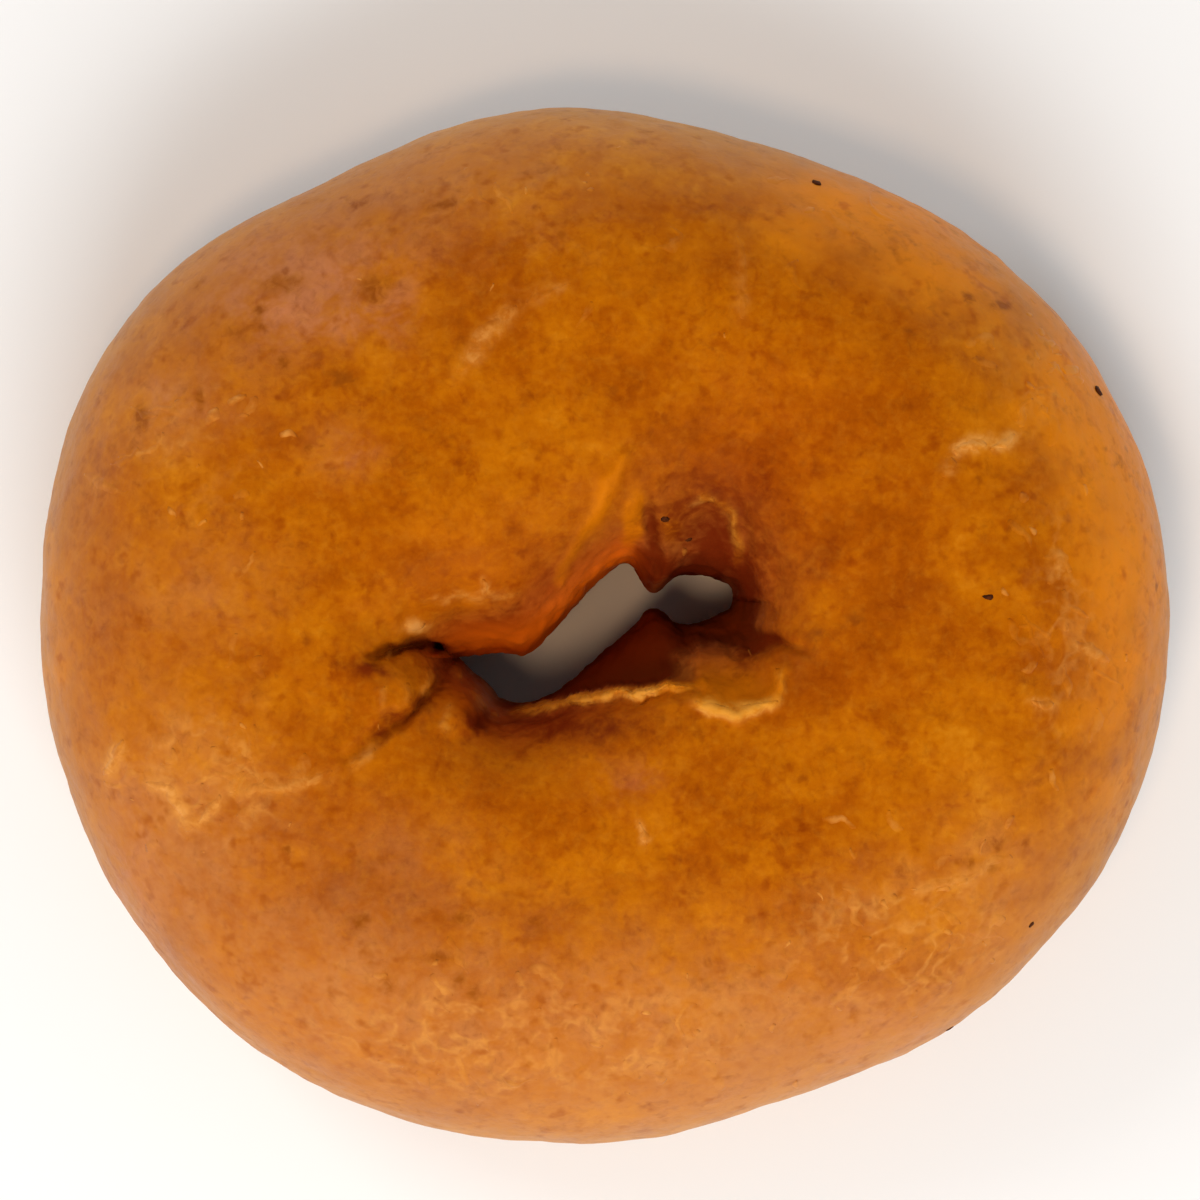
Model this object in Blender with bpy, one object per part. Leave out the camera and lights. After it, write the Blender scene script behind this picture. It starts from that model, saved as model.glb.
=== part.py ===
"""A plain boiled and baked bagel, 118 x 108 x 38 mm, whose hole has closed to a crooked slit.

The crust is one closed grid of points. Its columns run round the ring, from the wall of the slit
out to the outline. Its rows run round the section: up the side, over the crown, down the wall of
the slit, and back out under the flat base. X is along the bagel, Z is up, and the origin is on the
surface that it rests on, under the middle of its outline. Lengths are in millimetres, angles in
degrees, and the mesh is written in metres.
"""

import functools
import math

import bmesh
import bpy

METRES = 0.001

# Driving dimensions.
LENGTH = 118.0
WIDTH = 108.0
HEIGHT = 38.0
SIDE_HEIGHT = 15.0  # where the side stands out furthest
THROAT_HEIGHT = 14.0  # where the slit is narrowest

# How the outline leaves a plain ellipse: (direction, spread, swell), with flats below zero.
OUTLINE_SWELLS = (
    (68, 15, -2.3),
    (122, 8, -0.9),
    (150, 12, 1.7),
    (232, 18, 1.7),
    (293, 11, -1.5),
)

# The slit at its narrowest height: (x, y, half width across Y), from its left tip to its right end.
SLIT = (
    (-15.4, -3.3, 0.5),
    (-13.8, -4.0, 1.4),
    (-12.2, -4.6, 2.2),
    (-10.9, -5.2, 3.0),
    (-8.0, -5.4, 2.9),
    (-4.5, -2.9, 3.7),
    (-1.0, 0.5, 4.0),
    (2.4, 3.0, 3.5),
    (4.9, 2.6, 0.9),
    (7.4, 2.7, 2.6),
    (10.4, 2.8, 3.1),
    (13.4, 3.1, 2.6),
)
SLIT_END_ROUNDNESS = 0.5  # power that turns the slit's ends round

# Section of the ring, as shares of its width from the slit's wall to its outline.
CROWN_SHARE = 0.48
BASE_SHARES = (0.17, 0.83)  # where the flat base begins and ends
OUTER_ROLL = 2.25  # powers of the crown's curve: higher is flatter, then steeper
BACK_ROLL = 3.4  # towards the slit, behind it and in front of it
FRONT_ROLL = 4.6
CROWN_DIP = 1.6  # how much lower the crown is on its low side
CROWN_HIGH_DIRECTION = 160

# The torn lip in front of the slit, (x, y) along it, and the wall of dough that lies inside it.
LIP = ((-13.0, -8.2), (-6.2, -7.8), (-0.5, -6.6), (5.0, -5.9), (10.5, -5.4), (17.0, -5.9))
LIP_DEPTH = 0.58
LIP_EDGE = 1.0  # how wide the step down from the lip is
LIP_FADES = ((-12.0, -5.0), (13.0, 18.0))  # where along X the step begins and ends
BOWL_START = (5.5, 10.0)  # where along X the step gives way to a shallow bowl
BOWL_SHARE = 0.26  # of the lip's depth
BOWL_RIM = (-2.1, 0.8)  # where across the lip the bowl's rim and its inner drop lie
BOWL_DROP = (2.2, 4.8)

# Dents in the crown: (x, y, radius along X, radius along Y, depth, sharpness of its rim).
DENTS = (
    (9.4, 8.4, 5.0, 6.0, 0.22, 2.4),  # the pocket behind the slit's right end
    (13.0, 16.0, 8.0, 10.0, 0.11, 2.0),  # the hollow that runs on from the pocket
    (-15.5, -0.6, 7.5, 2.6, 0.13, 2.0),  # the furrow behind the slit's left end
)

# Swellings of the crown: (x, y, radius, height).
LOBES = (
    (-20.4, -6.0, 3.0, 0.10),
    (-14.2, -8.6, 2.4, 0.12),
    (-3.5, 12.0, 9.0, 0.03),
)

# Creases: (points along it, half width, depth at its first point, depth at its last).
CREASES = (
    (((-15.2, -3.0), (-17.4, -2.0)), 0.65, 0.25, 0.40),
    (((-17.4, -2.0), (-18.9, -1.8), (-20.7, -2.3), (-23.2, -2.8)), 0.65, 0.40, 0.12),
    (((-16.2, -3.6), (-17.0, -6.1), (-19.8, -8.7), (-22.4, -10.5), (-26.0, -13.3)), 0.75, 0.14, 0.02),
    (((14.0, -0.4), (16.4, -1.7), (20.4, -2.0)), 0.8, 0.16, 0.03),
    (((5.7, 5.5), (4.7, 8.6), (4.7, 12.2)), 0.7, 0.14, 0.03),
    (((14.2, 3.5), (14.5, 7.5), (13.9, 12.0)), 0.8, 0.10, 0.02),
    (((-13.2, -9.8), (-8.0, -9.5), (-0.5, -8.1), (5.0, -7.2), (9.5, -6.6)), 0.6, 0.06, 0.03),
)

# Ridges: (points along it, half width, height).
RIDGES = (
    (((-9.6, -8.7), (-6.2, -8.3), (-0.5, -7.1), (4.7, -6.3), (10.0, -5.8)), 0.6, 0.05),
    (((10.0, -7.4), (13.6, -8.8), (16.7, -7.8), (17.8, -4.6)), 0.8, 0.04),
    (((-4.6, 4.7), (-2.5, 9.0), (-0.5, 12.6), (1.8, 17.1)), 0.8, 0.025),
    (((2.6, 8.4), (2.9, 12.6)), 0.9, 0.03),
    (((10.0, 13.2), (12.4, 12.4), (13.4, 10.0), (13.9, 6.8)), 0.6, 0.03),
)

# Grid.
COLUMNS = 116
SIDE_ROWS = 4  # from the base's outer edge up to the widest height
OUTER_ROWS = 7  # from there up to the crown
INNER_ROWS = 16  # from the crown down to the narrowest height
INNER_CROWDING = 1.4  # above 1, the first of those rows lie closer together
FOOT_ROWS = 5  # from there down to the base's inner edge
BASE_ROWS = 4

CRUST = (0.42, 0.12, 0.012, 1.0)
CRUST_ROUGHNESS = 0.45


def mix(start, end, share):
    return start + (end - start) * share


def smooth_step(start, end, value):
    share = min(max((value - start) / (end - start), 0.0), 1.0)
    return share * share * (3.0 - 2.0 * share)


def angle_between(first, second):
    """The angle from one direction to another, from -180 to 180."""
    return (first - second + 180.0) % 360.0 - 180.0


def smooth_through(stations, x):
    """The other values of a row of stations at x, on a smooth curve through all of them."""
    last = len(stations) - 1
    i = next((k for k in range(last) if x <= stations[k + 1][0]), last - 1)
    before, start, end, after = (stations[min(max(k, 0), last)] for k in range(i - 1, i + 3))
    span = end[0] - start[0]
    t = min(max((x - start[0]) / span, 0.0), 1.0)
    found = []
    for value_before, value, value_end, value_after in list(zip(before, start, end, after))[1:]:
        slope = (value_end - value_before) / (end[0] - before[0]) * span
        slope_end = (value_after - value) / (after[0] - start[0]) * span
        found.append(
            (2 * t**3 - 3 * t**2 + 1) * value
            + (t**3 - 2 * t**2 + t) * slope
            + (3 * t**2 - 2 * t**3) * value_end
            + (t**3 - t**2) * slope_end
        )
    return found


def swollen_ellipse(direction):
    """The outline in a direction from its middle, before it is fitted to the bagel's size."""
    angle = math.radians(direction)
    half_length, half_width = LENGTH / 2, WIDTH / 2
    radius = half_length * half_width
    radius /= math.hypot(half_width * math.cos(angle), half_length * math.sin(angle))
    for centre, spread, swell in OUTLINE_SWELLS:
        radius += swell * math.exp(-0.5 * (angle_between(direction, centre) / spread) ** 2)
    return radius * math.cos(angle), radius * math.sin(angle)


@functools.cache
def outline_limits():
    """The lowest and highest (x, y) of the swollen ellipse, over the grid's columns."""
    xs, ys = zip(*(swollen_ellipse(360.0 * column / COLUMNS) for column in range(COLUMNS)))
    return (min(xs), min(ys)), (max(xs), max(ys))


def outline_point(direction):
    """The bagel's outline, seen from above: LENGTH by WIDTH, with its middle at the origin."""
    lowest, highest = outline_limits()
    return tuple(
        size * ((value - low) / (high - low) - 0.5)
        for size, value, low, high in zip(
            (LENGTH, WIDTH), swollen_ellipse(direction), lowest, highest
        )
    )


def slit_point(direction):
    """The slit's wall at its narrowest, in the column of that direction."""
    angle = math.radians(direction)
    left, right = SLIT[0][0], SLIT[-1][0]
    x = mix(left, right, 0.5 + 0.5 * math.cos(angle))
    middle, half_width = smooth_through(SLIT, x)
    side = math.copysign(abs(math.sin(angle)) ** SLIT_END_ROUNDNESS, math.sin(angle))
    return x, middle + half_width * side


def distance_to_path(x, y, path):
    """The distance from a point to a line through points, and how far along it that is, 0 to 1."""
    nearest, along = math.inf, 0.0
    for i, ((x0, y0), (x1, y1)) in enumerate(zip(path, path[1:])):
        dx, dy = x1 - x0, y1 - y0
        share = ((x - x0) * dx + (y - y0) * dy) / (dx * dx + dy * dy)
        share = min(max(share, 0.0), 1.0)
        distance = math.hypot(x - x0 - share * dx, y - y0 - share * dy)
        if distance < nearest:
            nearest, along = distance, (i + share) / (len(path) - 1)
    return nearest, along


def lip_sink(x, y):
    """How much of its height a point in front of the slit loses inside the torn lip."""
    (lip_y,) = smooth_through(LIP, min(max(x, LIP[0][0]), LIP[-1][0]))
    (fade_in, full), (still_full, gone) = LIP_FADES
    step = smooth_step(-LIP_EDGE / 2, LIP_EDGE / 2, y - lip_y)
    bowl = mix(smooth_step(*BOWL_DROP, y - lip_y), smooth_step(*BOWL_RIM, y - lip_y), BOWL_SHARE)
    sink = LIP_DEPTH * mix(step, bowl, smooth_step(*BOWL_START, x))
    return sink * smooth_step(fade_in, full, x) * (1.0 - smooth_step(still_full, gone, x))


def crown_kept(x, y, in_front):
    """The share of the crown's height that its relief leaves at a point."""
    kept = 1.0
    for cx, cy, rx, ry, depth, sharpness in DENTS:
        distance = math.hypot((x - cx) / rx, (y - cy) / ry)
        kept *= 1.0 - depth * math.exp(-(distance**sharpness))
    for cx, cy, radius, height in LOBES:
        kept *= 1.0 + height * math.exp(-((x - cx) ** 2 + (y - cy) ** 2) / radius**2)
    for path, half_width, depth_start, depth_end in CREASES:
        distance, along = distance_to_path(x, y, path)
        kept *= 1.0 - mix(depth_start, depth_end, along) * math.exp(-((distance / half_width) ** 2))
    for path, half_width, height in RIDGES:
        distance, _ = distance_to_path(x, y, path)
        kept *= 1.0 + height * math.exp(-((distance / half_width) ** 2))
    if in_front:
        kept *= 1.0 - lip_sink(x, y)
    return kept


def crown_height(direction):
    turned = math.cos(math.radians(angle_between(direction, CROWN_HIGH_DIRECTION)))
    return HEIGHT - CROWN_DIP * (1.0 - turned) / 2


def inner_roll(direction):
    """The power of the crown's curve towards the slit."""
    return mix(FRONT_ROLL, BACK_ROLL, 0.5 + 0.5 * math.sin(math.radians(direction)))


def quarter_turn(rows, power=1.0):
    """The angles of a quarter turn, without its first, ending in a right angle."""
    return [math.pi / 2 * ((row + 1) / rows) ** power for row in range(rows)]


def section(direction):
    """(share of the ring's width, height, whether the crown's relief reaches it) for each row."""
    top, roll = crown_height(direction), inner_roll(direction)
    base_start, base_end = BASE_SHARES
    rows = []
    for turn in quarter_turn(SIDE_ROWS):  # up the side
        share = mix(base_end, 1.0, math.sin(turn))
        rows.append((share, SIDE_HEIGHT * (1.0 - math.cos(turn)), False))
    for turn in quarter_turn(OUTER_ROWS):  # over the crown's outer half
        share = mix(CROWN_SHARE, 1.0, abs(math.cos(turn)) ** (2 / OUTER_ROLL))
        rows.append((share, mix(SIDE_HEIGHT, top, math.sin(turn)), True))
    for turn in quarter_turn(INNER_ROWS, INNER_CROWDING):  # down to the slit's narrowest height
        share = CROWN_SHARE * (1.0 - math.sin(turn) ** (2 / roll))
        rows.append((share, mix(THROAT_HEIGHT, top, math.cos(turn)), True))
    for turn in quarter_turn(FOOT_ROWS):  # down to the base
        share = base_start * (1.0 - math.cos(turn))
        rows.append((share, THROAT_HEIGHT * (1.0 - math.sin(turn)), False))
    for row in range(BASE_ROWS):  # out along the base
        rows.append((mix(base_start, base_end, (row + 1) / BASE_ROWS), 0.0, False))
    return rows


def crust_point(direction, share, height, has_relief):
    """Where a grid point lies, in millimetres."""
    inner, outer = slit_point(direction), outline_point(direction)
    x, y = mix(inner[0], outer[0], share), mix(inner[1], outer[1], share)
    if has_relief:
        floor = mix(THROAT_HEIGHT, SIDE_HEIGHT, share)
        in_front = math.sin(math.radians(direction)) < 0.0
        height = floor + max(height - floor, 0.0) * crown_kept(x, y, in_front)
    return x, y, height


def crust_columns():
    """The grid: one closed run of points round the section for each column."""
    for column in range(COLUMNS):
        direction = 360.0 * column / COLUMNS
        yield [crust_point(direction, *row) for row in section(direction)]


def make_crust_mesh():
    mesh = bpy.data.meshes.new("bagel")
    grid = bmesh.new()
    columns = [
        [grid.verts.new([METRES * value for value in point]) for point in column]
        for column in crust_columns()
    ]
    for column, following in zip(columns, columns[1:] + columns[:1]):
        for row in range(len(column)):
            beyond = (row + 1) % len(column)
            grid.faces.new((column[row], column[beyond], following[beyond], following[row]))
    bmesh.ops.recalc_face_normals(grid, faces=grid.faces)
    bmesh.ops.triangulate(grid, faces=grid.faces)
    grid.to_mesh(mesh)
    grid.free()
    mesh.shade_smooth()
    return mesh


def make_crust_material():
    material = bpy.data.materials.new("crust")
    material.use_nodes = True
    shader = material.node_tree.nodes["Principled BSDF"]
    shader.inputs["Base Color"].default_value = CRUST
    shader.inputs["Roughness"].default_value = CRUST_ROUGHNESS
    shader.inputs["Metallic"].default_value = 0.0
    material.diffuse_color = CRUST
    return material


def main():
    for old in list(bpy.data.objects):
        bpy.data.objects.remove(old)
    bagel = bpy.data.objects.new("bagel", make_crust_mesh())
    bagel.data.materials.append(make_crust_material())
    bpy.context.scene.collection.objects.link(bagel)


main()
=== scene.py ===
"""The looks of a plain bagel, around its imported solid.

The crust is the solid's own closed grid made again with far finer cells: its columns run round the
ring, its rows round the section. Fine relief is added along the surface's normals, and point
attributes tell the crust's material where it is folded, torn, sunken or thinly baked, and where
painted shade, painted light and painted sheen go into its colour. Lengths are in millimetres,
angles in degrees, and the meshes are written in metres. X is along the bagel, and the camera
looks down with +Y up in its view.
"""

import math
import random

import bmesh
import bpy
import numpy as np
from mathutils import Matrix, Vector, noise
from mathutils.bvhtree import BVHTree


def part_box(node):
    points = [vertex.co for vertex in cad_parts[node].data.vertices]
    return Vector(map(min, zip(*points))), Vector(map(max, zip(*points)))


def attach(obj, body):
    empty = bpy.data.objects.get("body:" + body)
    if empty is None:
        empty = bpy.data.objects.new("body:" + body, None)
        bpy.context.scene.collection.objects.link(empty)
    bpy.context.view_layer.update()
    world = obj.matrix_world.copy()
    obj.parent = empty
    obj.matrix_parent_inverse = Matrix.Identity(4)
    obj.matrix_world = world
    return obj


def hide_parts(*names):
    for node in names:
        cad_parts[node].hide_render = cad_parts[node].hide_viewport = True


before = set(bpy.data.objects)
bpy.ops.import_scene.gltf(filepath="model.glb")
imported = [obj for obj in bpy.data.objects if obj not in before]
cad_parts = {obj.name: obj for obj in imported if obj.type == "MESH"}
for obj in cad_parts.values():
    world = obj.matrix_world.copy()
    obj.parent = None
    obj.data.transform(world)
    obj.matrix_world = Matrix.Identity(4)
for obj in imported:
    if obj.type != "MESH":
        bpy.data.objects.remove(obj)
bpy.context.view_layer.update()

MM = 0.001
LOWEST, HIGHEST = (np.array(corner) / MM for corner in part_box("bagel"))
LENGTH, WIDTH, HEIGHT = HIGHEST - LOWEST
SIDE_HEIGHT = 15.0  # where the side stands out furthest
THROAT_HEIGHT = 14.0  # where the slit is narrowest

# Where looks fade in or out, each from its first value to its second.
CROWN_LOOKS = (SIDE_HEIGHT - 9.0, SIDE_HEIGHT + 1.0)  # heights
HOLE_LOOKS = (8.0, 15.0)  # heights
FRONT_WALL_TOP = (17.0, 25.0)  # heights of the front wall's painted shade
FRONT_WALL_LEFT = (-12.5, -9.0)  # along X, where that painted shade fades in
BACK_WALL_TOP = (19.0, 32.0)  # heights of the back wall's painted light
BACK_WALL_RIGHT = (1.0, 5.0)  # along X, where that painted light fades out
LIP_LOOKS = (0.1, 0.5)  # how far inside the lip, 0 to 1, its skin stops being torn
NEAR_SLIT = 4.5  # how far from the slit's wall its reddened skin and painted shade reach

# How the outline leaves a plain ellipse: (direction, spread, swell), with flats below zero.
OUTLINE_SWELLS = (
    (68, 15, -2.3),
    (122, 8, -0.9),
    (150, 12, 1.7),
    (232, 18, 1.7),
    (293, 11, -1.5),
)

# The slit at its narrowest height: (x, y, half width across Y), from its left tip to its right end.
SLIT = (
    (-15.4, -3.3, 0.5),
    (-13.8, -4.0, 1.4),
    (-12.2, -4.6, 2.2),
    (-10.9, -5.2, 3.0),
    (-8.0, -5.4, 2.9),
    (-4.5, -2.9, 3.7),
    (-1.0, 0.5, 4.0),
    (2.4, 3.0, 3.5),
    (4.9, 2.6, 0.9),
    (7.4, 2.7, 2.6),
    (10.4, 2.8, 3.1),
    (13.4, 3.1, 2.6),
)
SLIT_END_ROUNDNESS = 0.5

# Section of the ring, as shares of its width from the slit's wall to its outline.
CROWN_SHARE = 0.48
BASE_SHARES = (0.17, 0.83)
BACK_ROLL = 3.4  # powers of the crown's curve: higher is flatter, then steeper
FRONT_ROLL = 4.6
OUTER_ROLL = 2.25
CROWN_DIP = 1.6
CROWN_HIGH_DIRECTION = 160

# The torn lip in front of the slit, (x, y) along it, and the wall of dough that lies inside it.
LIP = ((-13.0, -8.2), (-6.2, -7.8), (-0.5, -6.6), (5.0, -5.9), (10.5, -5.4), (17.0, -5.9))
LIP_DEPTH = 0.58
LIP_EDGE = 1.0  # how wide the step down from the lip is
LIP_FADES = ((-12.0, -5.0), (13.0, 18.0))  # where along X the step begins and ends
BOWL_START = (5.5, 10.0)  # where along X the step gives way to a shallow bowl
BOWL_SHARE = 0.26  # of the lip's depth
BOWL_RIM = (-2.1, 0.8)  # where across the lip the bowl's rim and its inner drop lie
BOWL_DROP = (2.2, 4.8)

# Dents in the crown: (x, y, radius along X, radius along Y, depth, sharpness of its rim).
DENTS = (
    (9.4, 8.4, 5.0, 6.0, 0.22, 2.4),  # the pocket behind the slit's right end
    (13.0, 16.0, 8.0, 10.0, 0.11, 2.0),  # the hollow that runs on from the pocket
    (-15.5, -0.6, 7.5, 2.6, 0.13, 2.0),  # the furrow behind the slit's left end
)

# Swellings of the crown: (x, y, radius, height).
LOBES = (
    (-20.4, -6.0, 3.0, 0.1),
    (-14.2, -8.6, 2.4, 0.12),
    (-3.5, 12.0, 9.0, 0.03),
)

# Creases: (points along it, half width, depth at its first point, depth at its last).
CREASES = (
    (((-15.2, -3.0), (-17.4, -2.0)), 0.65, 0.25, 0.4),
    (((-17.4, -2.0), (-18.9, -1.8), (-20.7, -2.3), (-23.2, -2.8)), 0.65, 0.4, 0.12),
    (((-16.2, -3.6), (-17.0, -6.1), (-19.8, -8.7), (-22.4, -10.5), (-26.0, -13.3)), 0.75, 0.14, 0.02),
    (((14.0, -0.4), (16.4, -1.7), (20.4, -2.0)), 0.8, 0.16, 0.03),
    (((5.7, 5.5), (4.7, 8.6), (4.7, 12.2)), 0.7, 0.14, 0.03),
    (((14.2, 3.5), (14.5, 7.5), (13.9, 12.0)), 0.8, 0.1, 0.02),
    (((-13.2, -9.8), (-8.0, -9.5), (-0.5, -8.1), (5.0, -7.2), (9.5, -6.6)), 0.6, 0.06, 0.03),
)

# Ridges: (points along it, half width, height).
RIDGES = (
    (((-9.6, -8.7), (-6.2, -8.3), (-0.5, -7.1), (4.7, -6.3), (10.0, -5.8)), 0.6, 0.05),
    (((10.0, -7.4), (13.6, -8.8), (16.7, -7.8), (17.8, -4.6)), 0.8, 0.04),
    (((-4.6, 4.7), (-2.5, 9.0), (-0.5, 12.6), (1.8, 17.1)), 0.8, 0.025),
    (((2.6, 8.4), (2.9, 12.6)), 0.9, 0.03),
    (((10.0, 13.2), (12.4, 12.4), (13.4, 10.0), (13.9, 6.8)), 0.6, 0.03),
)

# Grid.
COLUMNS = 512
SIDE_ROWS = 22
OUTER_ROWS = 60
INNER_ROWS = 84
FOOT_ROWS = 14
BASE_ROWS = 8

RAGGEDNESS = 0.5  # how far creases, ridges and tears stray from their lines
RAGGED_SIZE = 2.4

# Torn or stretched skin, paler than the crust: (points along it, half width, strength).
TEARS = (
    (((-9.4, -8.8), (-6.2, -8.4), (-3.1, -7.7), (-0.5, -7.2), (3.2, -6.6), (8.4, -5.9)), 0.5, 0.7),
    (((9.4, -7.7), (11.4, -8.2), (13.6, -8.7), (15.5, -8.4), (17.3, -7.6)), 0.75, 0.7),
    (((17.2, -7.6), (18.0, -6.4), (17.4, -4.2)), 0.5, 0.22),
    (((8.7, 12.7), (10.1, 13.1), (11.5, 13.0)), 0.5, 0.3),
    (((11.9, 12.4), (12.9, 10.8), (13.2, 9.4), (13.9, 7.6)), 0.5, 0.3),
    (((-18.2, 2.7), (-14.0, 3.2), (-8.8, 3.2)), 0.5, 0.3),
    (((-12.3, 4.8), (-12.2, 3.2)), 0.45, 0.5),
    (((-20.6, 0.0), (-19.5, 0.2), (-18.5, 0.0)), 0.8, 0.6),
    (((-18.1, -3.9), (-18.3, -5.6), (-18.4, -7.4)), 0.5, 0.28),
    (((-20.0, -5.8), (-20.1, -7.6)), 0.45, 0.18),
    (((-22.3, -6.2), (-22.5, -8.0)), 0.45, 0.2),
    (((-15.9, -8.0), (-16.2, -9.6), (-16.0, -11.2)), 0.6, 0.3),
    (((-16.0, -3.9), (-15.3, -4.5), (-15.0, -5.3)), 0.45, 0.4),
    (((-13.7, -6.2), (-13.0, -7.4), (-12.2, -8.4)), 0.45, 0.3),
    (((-23.2, -12.2), (-24.4, -13.2), (-25.6, -14.1)), 0.65, 0.34),
    (((34.2, 15.2), (35.4, 17.0)), 0.8, 0.35),
    (((35.6, 17.4), (37.0, 18.5), (38.8, 18.7)), 0.8, 0.78),
    (((39.3, 18.1), (40.8, 18.5), (42.0, 19.8)), 0.75, 0.7),
    (((42.4, 20.6), (42.9, 22.6)), 0.6, 0.3),
    (((-49.3, -11.6), (-49.8, -13.2), (-50.9, -15.1)), 0.75, 0.6),
    (((-46.5, -15.6), (-44.4, -16.6), (-43.0, -18.6), (-42.2, -20.9)), 0.75, 0.62),
    (((-42.2, -20.9), (-40.5, -19.4), (-39.0, -17.2)), 0.75, 0.5),
    (((-37.4, -16.8), (-34.0, -16.4), (-30.6, -15.8), (-27.6, -14.8)), 0.8, 0.4),
    (((-15.0, 25.6), (-12.6, 28.4), (-10.9, 30.8), (-8.8, 32.6)), 1.0, 0.42),
    (((-8.0, 32.8), (-5.6, 34.0), (-3.6, 34.6)), 0.8, 0.3),
    (((31.4, -27.1), (34.0, -26.2), (36.5, -25.6), (41.3, -23.4)), 0.8, 0.38),
    (((27.7, -34.9), (30.8, -32.8)), 0.8, 0.38),
    (((43.2, -7.6), (45.6, -8.0)), 0.7, 0.55),
    (((47.5, -1.5), (51.7, -3.6)), 0.8, 0.4),
    (((13.7, 40.0), (13.9, 31.0)), 0.9, 0.25),
    (((3.4, -19.8), (4.3, -22.2)), 0.6, 0.5),
)
TEAR_HEIGHT = 0.25
TEAR_END = 0.15  # the share of a tear's length over which it fades at each end
TEAR_LUMPS = (0.5, 1.2, 2, 3.0)  # share of its height, size, octaves, shift

# Flecks of skin torn off: (x, y, length, turn).
FLECKS = (
    (20.9, 42.8, 1.1, 10),
    (-11.4, 34.3, 0.9, 60),
    (12.1, 29.5, 0.7, 90),
    (19.9, -47.2, 1.0, 70),
    (-22.9, -35.2, 1.8, 0),
    (46.6, 28.4, 1.0, 140),
    (45.0, 30.4, 0.9, 120),
    (48.8, 26.2, 0.8, 130),
    (43.6, 31.9, 0.8, 150),
    # Painted highlight: this pale fleck stands for a glint in the left crack.
    (-22.0, -2.7, 1.3, 60),
    (-22.6, -10.0, 0.7, 90),
    (14.9, -2.6, 0.8, 90),
    (8.2, 7.7, 0.8, 80),
    (-11.2, -9.2, 0.9, 20),
    (-24.9, 35.3, 0.6, 0),
    (-39.7, 21.3, 2.0, 60),
    (-37.2, 23.1, 1.6, 20),
    (-32.0, 19.4, 1.8, 0),
    (43.1, -4.2, 1.8, 0),
    (34.3, -27.0, 1.6, 20),
    (36.4, -25.8, 1.4, 45),
    (38.4, -22.4, 1.6, 60),
    (41.0, -20.0, 1.4, 50),
    (31.5, -26.7, 1.0, 0),
)
FLECK_STRENGTH = (0.25, 0.5)
FLECK_HALF_WIDTH = 0.34  # as shares of its length
FLECK_HEIGHT = 0.07
AREA_SPREAD = 0.6  # how widely an area's things lie, as a share of its radii

# Smaller flecks: (x, y, radius along X, radius along Y, how many).
FLECKED = (
    (45.5, 27.5, 3.0, 4.0, 12),
    (-41.0, -17.0, 7.0, 5.0, 8),
    (-4.0, -41.0, 18.0, 6.0, 12),
    (30.0, -33.0, 12.0, 7.0, 9),
    (46.0, 0.0, 5.0, 14.0, 5),
    (-38.0, 16.0, 8.0, 6.0, 6),
    (0.0, 44.0, 14.0, 4.0, 5),
)
FLECK_LENGTH = (0.5, 1.3)

# Fine wrinkles of the skin: (x, y, radius along X, radius along Y, how many).
WRINKLED = (
    (-40.0, -15.0, 8.0, 7.0, 20),
    (-8.0, -42.0, 20.0, 6.0, 24),
    (30.0, -32.0, 13.0, 8.0, 16),
    (47.0, 0.0, 5.0, 16.0, 12),
    (44.0, 26.0, 6.0, 8.0, 9),
    (-42.0, 18.0, 9.0, 10.0, 9),
    (-8.0, 38.0, 14.0, 8.0, 6),
    (24.0, 42.0, 10.0, 5.0, 5),
)
WRINKLE_LENGTH = (1.5, 5.0)
WRINKLE_HALF_WIDTH = (0.45, 1.0)
WRINKLE_STRENGTH = (0.12, 0.38)
WRINKLE_HEIGHT = 0.07
WRINKLE_STEP = 0.8  # between the turns of its line
WRINKLE_TURN = 28.0  # how sharp those turns are
WRINKLE_REACH = 0.48  # how far out they lie, as a share of the bagel's length and width
FULL_NET = 18.0  # how many wrinkles lie in an area whose skin is fully netted

# Patches of the crust, partly its browning and partly painted shade and light: (x, y, radius along X,
# radius along Y, how much browner; paler below zero).
PATCHES = (
    (-37.0, 34.5, 5.0, 3.5, 0.3),
    (-27.0, 27.0, 5.0, 4.0, 0.4),
    (-45.5, -35.0, 3.0, 4.0, 0.6),
    (-27.0, -28.0, 17.0, 16.0, 0.7),
    (-3.0, -38.0, 12.0, 5.0, 0.6),
    (14.0, -27.0, 3.5, 2.5, 0.4),
    (20.0, -27.8, 2.2, 2.2, 0.6),
    (27.0, -26.0, 5.0, 6.0, -0.4),
    (32.0, -36.0, 4.5, 3.0, 0.5),
    (14.0, 43.0, 7.0, 1.6, 0.5),
    (2.3, 41.8, 8.0, 2.5, 0.3),
    (-34.0, -3.2, 2.6, 1.8, 0.4),
    (43.5, -3.5, 1.8, 1.8, 0.5),
    (-12.0, 32.0, 6.0, 4.0, 0.4),
    (-41.0, -14.5, 5.5, 3.6, -0.4),
    (22.0, 42.5, 2.0, 1.5, -0.5),
    (-12.0, -45.0, 9.0, 3.5, -0.2),
    (0.0, 34.0, 18.0, 9.0, 0.25),
    (25.0, 9.0, 9.0, 12.0, 0.5),
    (18.0, 25.0, 11.0, 6.0, 0.7),
    (12.0, 15.0, 7.0, 6.0, 0.75),
    (-18.0, 6.0, 6.0, 6.0, 0.7),
    (23.0, -6.0, 8.0, 4.0, 0.35),
    (36.0, 3.0, 4.0, 4.0, -0.5),
    (-41.0, -15.0, 5.5, 4.0, -0.5),
    (36.0, 26.0, 6.0, 5.0, -0.5),
    (-9.0, 34.0, 5.0, 4.0, 0.4),
    (3.0, 51.0, 16.0, 5.0, -0.6),
    (24.0, -44.0, 16.0, 7.0, -0.3),
    (-26.0, -6.0, 5.0, 4.0, 0.5),
    (2.0, -12.0, 14.0, 3.0, 0.3),
)
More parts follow.
